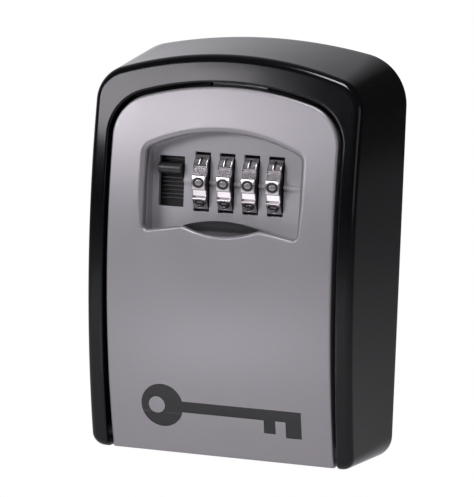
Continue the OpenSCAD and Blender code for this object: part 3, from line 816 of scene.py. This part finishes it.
# %% [markdown]
# ## Dials
# A dial is a zinc wheel with ten pads, a digit sunk into each pad and a shallow notch
# between two pads to turn it by. Its radius is a function of the angle and of the place across
# the wheel, so pads, notches, chamfers and digits all come from one array of radii. The digits
# are drawn as strokes: a point is inked where it lies closer to a stroke than half its width.
# The wheel's sides are inked black all over, as painted shade for the dark that they reflect.


# %% Digits as strokes
def arc(cx, cy, rx, ry, start, end, steps=20):
    """Points along an ellipse, angles in degrees."""
    t = np.radians(np.linspace(start, end, steps))
    return np.column_stack([cx + rx * np.cos(t), cy + ry * np.sin(t)])


def lines(*points):
    return np.array(points, float)


SIX = [arc(0, -0.42, 0.92, 0.58, 0, 360, 30), np.vstack([arc(0.55, -0.42, 1.47, 1.42, 180, 95)])]
DIGITS = [
    [arc(0, 0, 1.0, 1.0, 0, 360, 40)],
    [lines((0, -1), (0, 1))],
    [np.vstack([arc(0, 0.45, 0.92, 0.55, 165, -35), lines((-0.95, -1), (1, -1))])],
    [np.vstack([arc(0, 0.5, 0.85, 0.5, 150, -90), arc(0, -0.5, 0.95, 0.5, 90, -150)])],
    [lines((0.55, -1), (0.55, 1), (-1, -0.4), (1, -0.4))],
    [np.vstack([lines((0.9, 1), (-0.75, 1), (-0.85, 0.12)), arc(0, -0.38, 0.95, 0.62, 130, -150)])],
    SIX,
    [lines((-0.95, 1), (0.95, 1), (-0.3, -1))],
    [arc(0, 0.52, 0.78, 0.48, 0, 360, 30), arc(0, -0.5, 0.95, 0.5, 0, 360, 30)],
    [-part for part in SIX],
]


def stroke_distance(u, v, strokes):
    """Shortest distance from every point (u, v) to a set of broken lines."""
    best = np.full(u.shape, 1e9)
    for path in strokes:
        for a, b in zip(path[:-1], path[1:]):
            ab = b - a
            t = np.clip(((u - a[0]) * ab[0] + (v - a[1]) * ab[1]) / max(ab @ ab, 1e-9), 0, 1)
            best = np.minimum(best, np.hypot(u - a[0] - t * ab[0], v - a[1] - t * ab[1]))
    return best


def rise(x, low, high):
    """Goes smoothly from 0 at low to 1 at high."""
    t = np.clip((x - low) / (high - low), 0, 1)
    return t * t * (3 - 2 * t)


# %% One wheel as an array of radii
PITCH = math.radians(36)
pad_half, notch_deep, digit_deep, stroke = 1.85, 0.8, 0.25, 0.66
digit_w, digit_h, rim_round = 1.34, 1.15, 0.22
around, across = 640, 57
hub_lo, hub_hi = box_mm("code_hub_1")
bore_r = (hub_hi[2] - hub_lo[2]) / 2 - 1.5
angle = np.arange(around) * 2 * math.pi / around
number = np.rint(angle / PITCH).astype(int) % 10
off = angle - np.rint(angle / PITCH) * PITCH
floor_off = off - np.sign(off) * PITCH / 2
floor_flat = (dial_r - notch_deep) * math.cos(math.atan2(1.25, dial_r)) / np.cos(floor_off)
along = np.abs(off) * dial_r
pad_share = 1 - rise(along, pad_half, pad_half + 0.5)
rim_r = floor_flat * (1 - pad_share) + dial_r * pad_share
x_rel = np.linspace(-dial_w / 2, dial_w / 2, across)
radius = np.broadcast_to(rim_r, (across, around)).copy()
ink_and_painted_shade = np.zeros((across, around))
for n, strokes in enumerate(DIGITS):
    here = number == n
    u = np.broadcast_to(x_rel[:, None], (across, here.sum()))
    v = np.broadcast_to((off[here] * dial_r)[None, :], u.shape)
    scaled = [p * [digit_w, digit_h] for p in strokes]
    gap = stroke_distance(u, v, scaled)
    radius[:, here] -= digit_deep * (1 - rise(gap, stroke / 2 - 0.06, stroke / 2 + 0.06))
    ink_and_painted_shade[:, here] = 1 - rise(gap, stroke / 2 - 0.03, stroke / 2 + 0.07)
edge_gap = dial_w / 2 - np.abs(x_rel)
radius -= (rim_round * (1 - np.minimum(edge_gap / rim_round, 1)) ** 2)[:, None]
sides_r = [rim_r - 0.4, rim_r - 0.9]
sides_r += [np.full(around, r) for r in (dial_r - 2.2, dial_r - 2.5, bore_r + 0.3, bore_r)]
sides_in = np.array([0.0, 0.0, 0.0, 0.25, 0.25, 0.0])
wheel_r = np.vstack([*sides_r[::-1], radius, *sides_r])
wheel_x = np.r_[(-dial_w / 2 + sides_in)[::-1], x_rel, dial_w / 2 - sides_in]
# the wheel's sides get full ink: a painted shade, black, for the dark that the dial's sides reflect
painted_shade_sides = np.ones((len(sides_r), around))
wheel_ink_and_painted_shade = np.vstack([painted_shade_sides, ink_and_painted_shade, painted_shade_sides])
print("one dial:", wheel_r.shape, "radii from", round(float(wheel_r.min()), 2), "to", round(float(wheel_r.max()), 2))

# %% Four dials
for i, x in enumerate(dial_xs, 1):
    d = axis_d + wheel_r * np.cos(angle)
    z = axis_z + wheel_r * np.sin(angle)
    xs = np.broadcast_to((x + wheel_x)[:, None], wheel_r.shape)
    points = np.stack([xs, -d, z], -1).reshape(-1, 3)
    obj = piece(f"dial_wheel_{i}", points, loft_faces(len(wheel_r), around, close_rows=True), f"dial_{i}",
                "dial_nickel", nickel, f"dial_{i}", smooth_deg=28)
    layer = obj.data.attributes.new("ink_and_painted_shade", "FLOAT", "POINT")
    if len(obj.data.vertices) != wheel_ink_and_painted_shade.size:
        raise SystemExit("a dial lost points, so its ink no longer fits")
    layer.data.foreach_set("value", wheel_ink_and_painted_shade.ravel().astype(np.float32))


# %% [markdown]
# ## Slider
# The opening slider is one moulding: a row of small ribs to grip, and a rounded bar for the
# thumb. Its side view is a single outline, carried across its width.


# %% Slider profile
def carried(profile, x0, x1):
    """A closed outline of (depth, height) carried along X from x0 to x1, its ends rounded."""
    n, round_end = len(profile), 0.15
    near = [(0.0, round_end), (0.3 * round_end, 0.3 * round_end), (round_end, 0.0)]
    rows = [(x0 + dx, k) for dx, k in near] + [(x1 - dx, k) for dx, k in reversed(near)]
    rings = []
    for x, k in rows:
        p = outset(profile, profile_side * -k)
        rings.append(np.column_stack([np.full(n, x), -p[:, 0], p[:, 1]]))
    last = (len(rings) - 1) * n
    return np.vstack(rings), loft_faces(len(rings), n).tolist() + [list(range(n)), list(range(last, last + n))]


slide_lo, slide_hi = box_mm("open_slider")
plate_back = plate_d - plate_t
slider_d, rib_d, thumb_d = plate_back - 3, plate_back - 0.3, -slide_lo[1]
slider_x, rib_step = (slide_lo[0] + slide_hi[0]) / 2, 1.15
thumb_low, thumb_h = axis_z + 1.7, 3.2
valley = slider_d + 1.9
base_low, base_top = slide_lo[2], slide_hi[2]


def rib(z):
    """A small rounded rib around height z, as (depth, height) from the bottom up."""
    t = np.radians(np.linspace(-90, 90, 7))
    tip = np.column_stack([rib_d - 0.25 + 0.25 * np.cos(t), z + 0.3 * np.sin(t)])
    return np.vstack([[valley, z - 0.34], tip, [valley, z + 0.34]])


t = np.radians(np.linspace(-90, 90, 13))
bar = np.column_stack([thumb_d - 1.1 + 1.1 * np.cos(t), thumb_low + thumb_h / 2 + (thumb_h / 2 - 0.1) * np.sin(t)])
profile = [np.array([[slider_d, base_low], [valley, base_low]])]
profile += [rib(thumb_low - 1.2 - rib_step * i) for i in range(5, -1, -1)]
profile += [np.array([[valley, thumb_low - 0.3], [valley + 0.5, thumb_low + 0.02]]), bar,
            np.array([[valley + 0.5, thumb_low + thumb_h - 0.02], [valley, thumb_low + thumb_h + 0.2]])]
profile += [rib(thumb_low + thumb_h + 0.8 + rib_step * i) for i in range(3)]
profile += [np.array([[valley, base_top], [slider_d, base_top]])]
profile = np.vstack(profile)
profile_side = 1.0 if outset(profile, 0.1)[:, 0].max() > profile[:, 0].max() else -1.0
grip = carried(profile, slider_x - 3.4, slider_x + 3.4)
slider = piece("opening_slider", *grip, "latch", "slider_black", slider_black, "open_slider")
plate = box_shape((slide_lo[0], slider_d, base_low + 0.1), (slide_hi[0], valley - 0.05, base_top - 0.1))
latch_front = axis_d + 1.2
pad = box_shape((-19.6, latch_front, thumb_low + thumb_h + 1), (-13.0, slider_d + 0.1, base_top))
foot = box_shape((slider_x - 3, -slide_hi[1], axis_z - 4.5), (slider_x + 3, slider_d + 0.1, axis_z - 2.5))
joined(slider, [plate, pad, foot])
even_shading(slider)

# %% [markdown]
# ## Shutter
# The shutter is a thin bowed plate that slides in the gap behind the door's skin. A shallow dish
# in its upper edge gives the finger a hold. Front and back are two grids on the bow, joined
# along their edges.


# %% Two grids joined into a sheet
def sheet_between(front, back):
    """A closed sheet from two point grids of the same shape."""
    rows, cols = front.shape[:2]
    n = rows * cols
    index = np.arange(n).reshape(rows, cols)
    edge = np.r_[index[0, :-1], index[:-1, -1], index[-1, :0:-1], index[:0:-1, 0]]
    strip = np.column_stack([edge, np.roll(edge, -1), np.roll(edge, -1) + n, edge + n])
    faces = grid_faces(rows, cols).tolist() + (grid_faces(rows, cols, n)[:, ::-1]).tolist() + strip.tolist()
    return np.vstack([front.reshape(-1, 3), back.reshape(-1, 3)]), faces


COUNTS.update(DOOR_COUNTS)
sh_lo, sh_hi = box_mm("shutter")
shutter_half, shutter_top, shutter_low = sh_hi[0] - 0.02, sh_hi[2] - 0.02, sh_lo[2]
shutter_t, shutter_sink, shutter_arch = 1.0, skin + 0.25, 36.0
right = arched(shutter_half, shutter_top, shutter_arch, 6.0, shutter_low, 2.0)
turn_at = COUNTS["arch"] + COUNTS["corner"]
u = np.sin(np.linspace(-math.pi / 2, math.pi / 2, 101))
x = u * (shutter_half - 1e-3)
upper = np.interp(np.abs(x), right[: turn_at + 1, 0], right[: turn_at + 1, 1])
lower = np.interp(np.abs(x), right[turn_at:, 0][::-1], right[turn_at:, 1][::-1])
v = np.concatenate([np.linspace(0, 0.3, 40), np.linspace(0.34, 1, 14)])[:, None]
z = upper * (1 - v) + lower * v
xs = np.broadcast_to(x, z.shape)
dish = 0.45 * np.exp(-((xs / 8.5) ** 4) - ((z - (shutter_top - 2.6)) / 1.7) ** 2)
front = np.stack([xs, -(door_depth(z) - shutter_sink - dish), z], -1)
back_side = np.stack([xs, -(door_depth(z) - shutter_sink - shutter_t), z], -1)
piece("bowed_shutter", *sheet_between(front, back_side), "shutter", "shutter_black", shutter_black, "shutter")

# %% Carried-over parts get their finishes
repaint(bright_steel, "hinge_pin_left", "hinge_pin_right", "cover_screws", "case_screws", "spindle")
repaint(spring_steel, "spindle_clips", "detent_spring")
repaint(hub_brass, *(f"code_hub_{i}" for i in (1, 2, 3, 4)))
repaint(guide_grey, "shutter_guide")

# %% [markdown]
# ## Springs that are pressed together
# Two coil springs shorten when the part next to them moves. Each is a round wire carried along a
# helix.

# %% Coil springs
def coil_spring(node, along, wire, turns, slot, fixed_high):
    """A coil in the place of a node, its length along axis number `along`."""
    wire_sides = 10
    lo, hi = box_mm(node)
    u, v = [k for k in (0, 1, 2) if k != along]
    length, coil_r = hi[along] - lo[along], min(hi[u] - lo[u], hi[v] - lo[v]) / 2 - wire - 0.01
    a = np.linspace(0, 2 * math.pi * turns, turns * 28 + 1)
    b = np.linspace(0, 2 * math.pi, wire_sides, endpoint=False)
    rings = []
    for angle_at, height in zip(a, wire + (length - 2 * wire) * a / a[-1]):
        ring = np.zeros((wire_sides, 3))
        ring[:, u] = (lo[u] + hi[u]) / 2 + (coil_r + wire * np.cos(b)) * math.cos(angle_at)
        ring[:, v] = (lo[v] + hi[v]) / 2 + (coil_r + wire * np.cos(b)) * math.sin(angle_at)
        ring[:, along] = lo[along] + height + wire * np.sin(b)
        rings.append(ring)
    last = (len(rings) - 1) * wire_sides
    ends = [list(range(wire_sides)), list(range(last, last + wire_sides))]
    faces = loft_faces(len(rings), wire_sides).tolist() + ends
    obj = piece(node + "_coil", np.vstack(rings), faces, "door", slot, spring_steel, node, smooth_deg=60)
    anchor, axis = (lo + hi) / 2 / MM, [0.0, 0.0, 0.0]
    anchor[along], axis[along] = (hi if fixed_high else lo)[along] / MM, 1.0
    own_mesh(obj)


coil_spring("latch_spring", 2, 0.45, 5, "spring_steel", fixed_high=False)
coil_spring("spindle_spring", 0, 0.3, 5, "spring_steel", fixed_high=True)

# %% [markdown]
# ## Studio
# The floor is white and well below the box, so that the door has room to swing down. The key
# light is on the left, a little above the box, and close enough for its reflection to fade across
# the black rim. A light from above brightens the tops, a weak fill stands on the right, and a
# small card lights the dials from below. The camera sits to the right and a little above.

# %% Floor and surroundings
floor_mesh = bpy.data.meshes.new("floor")
floor_z, reach = -0.125, 1.6
corners = [(-reach, -reach), (reach, -reach), (reach, reach), (-reach, reach)]
floor_mesh.from_pydata([(x, y, floor_z) for x, y in corners], [], [(0, 1, 2, 3)])
floor = add_object("floor", floor_mesh)
white = bpy.data.materials.new("studio_white")
white.use_nodes = True
tree = white.node_tree
lit = tree.nodes["Principled BSDF"]
lit.inputs["Base Color"].default_value = (0.8, 0.8, 0.81, 1)
lit.inputs["Roughness"].default_value = 0.9
# the floor glows a little round the box, and is plain white from the camera and clear from below
place = tree.nodes.new("ShaderNodeVectorMath")
place.operation = "LENGTH"
tree.links.new(tree.nodes.new("ShaderNodeTexCoord").outputs["Object"], place.inputs[0])
fade = math_node(tree, "MULTIPLY_ADD", place.outputs["Value"], -1.1, 1.25, clamp=True)
tree.links.new(math_node(tree, "MULTIPLY", fade, 0.2), lit.inputs["Emission Strength"])
lit.inputs["Emission Color"].default_value = (1, 1, 1, 1)
glow = tree.nodes.new("ShaderNodeEmission")
glow.inputs["Color"].default_value = (1, 1, 1, 1)
clear = tree.nodes.new("ShaderNodeBsdfTransparent")
seen = tree.nodes.new("ShaderNodeLightPath").outputs["Is Camera Ray"]
below = tree.nodes.new("ShaderNodeNewGeometry").outputs["Backfacing"]
shown, top_side = tree.nodes.new("ShaderNodeMixShader"), tree.nodes.new("ShaderNodeMixShader")
for a, b in ((seen, shown.inputs[0]), (lit.outputs[0], shown.inputs[1]), (glow.outputs[0], shown.inputs[2]),
             (below, top_side.inputs[0]), (shown.outputs[0], top_side.inputs[1]),
             (clear.outputs[0], top_side.inputs[2]),
             (top_side.outputs[0], tree.nodes["Material Output"].inputs["Surface"])):
    tree.links.new(a, b)
floor_mesh.materials.append(white)

world = bpy.data.worlds.new("studio")
bpy.context.scene.world = world
world.use_nodes = True
tree = world.node_tree
room = tree.nodes["Background"]
room.inputs["Color"].default_value = (0.97, 0.95, 1.0, 1)
direction = tree.nodes.new("ShaderNodeTexCoord").outputs["Generated"]
parts = tree.nodes.new("ShaderNodeSeparateXYZ")
tree.links.new(direction, parts.inputs[0])
# the room is brighter behind and to the left
side = math_node(tree, "MULTIPLY_ADD", parts.outputs["X"], -1.4, 0.28, clamp=True)
behind = math_node(tree, "MULTIPLY_ADD", parts.outputs["Y"], 0.8, 0.2, clamp=True)
level = math_node(tree, "MULTIPLY_ADD", math_node(tree, "MULTIPLY", side, behind), 1.0, 0.03)
tree.links.new(level, room.inputs["Strength"])
backdrop = tree.nodes.new("ShaderNodeBackground")
backdrop.inputs["Color"].default_value = (1, 1, 1, 1)
seen = tree.nodes.new("ShaderNodeLightPath")
mix = tree.nodes.new("ShaderNodeMixShader")
tree.links.new(seen.outputs["Is Camera Ray"], mix.inputs[0])
tree.links.new(room.outputs[0], mix.inputs[1])
tree.links.new(backdrop.outputs[0], mix.inputs[2])
tree.links.new(mix.outputs[0], tree.nodes["World Output"].inputs["Surface"])


# %% Lights
def soft_light(name, azimuth, elevation, distance, size, watts, aim=(0, -0.02, 0.0)):
    """A rectangular soft light that faces the box; azimuth 0 is straight in front, 90 on the right."""
    az, el = math.radians(azimuth), math.radians(elevation)
    toward = Vector((math.sin(az) * math.cos(el), -math.cos(az) * math.cos(el), math.sin(el)))
    lamp = bpy.data.lights.new(name, "AREA")
    lamp.shape, lamp.size, lamp.size_y = "RECTANGLE", size[0], size[1]
    lamp.energy, lamp.color = watts, (1.0, 0.965, 1.02)
    obj = add_object(name, lamp)
    obj.location = Vector(aim) + toward * distance
    obj.rotation_euler = toward.to_track_quat("Z", "Y").to_euler()


soft_light("key", -33, 15.5, 0.55, (0.26, 0.13), 1.15)
soft_light("top", 4, 62, 0.7, (0.2, 0.2), 2.8)
soft_light("fill", 64, 12, 0.6, (0.3, 0.3), 0.3)
# a small card under the dials, which brightens the notches that face down
soft_light("card", -19.5, -42.7, 0.12, (0.05, 0.03), 0.005, aim=(0.003, -0.03, axis_z / MM))

# %% Camera
azimuth, elevation, roll, distance = 0.3394, 0.1177, 0.0375, 0.8522
target = Vector((-0.0014767, -0.015, -0.000363))
back = Vector((math.sin(azimuth) * math.cos(elevation), -math.cos(azimuth) * math.cos(elevation), math.sin(elevation)))
right = (-back).cross(Vector((0, 0, 1))).normalized()
upward = right.cross(-back)
cam_x = right * math.cos(roll) + upward * math.sin(roll)
cam_y = upward * math.cos(roll) - right * math.sin(roll)
lens = bpy.data.cameras.new("camera")
lens.lens, lens.sensor_width, lens.sensor_fit = 219.68, 36.0, "AUTO"
lens.clip_start = 0.05
camera = add_object("camera", lens)
camera.matrix_world = Matrix.Translation(target + back * distance) @ Matrix((cam_x, cam_y, back)).transposed().to_4x4()
bpy.context.scene.camera = camera
bpy.context.scene.view_settings.view_transform = "Standard"
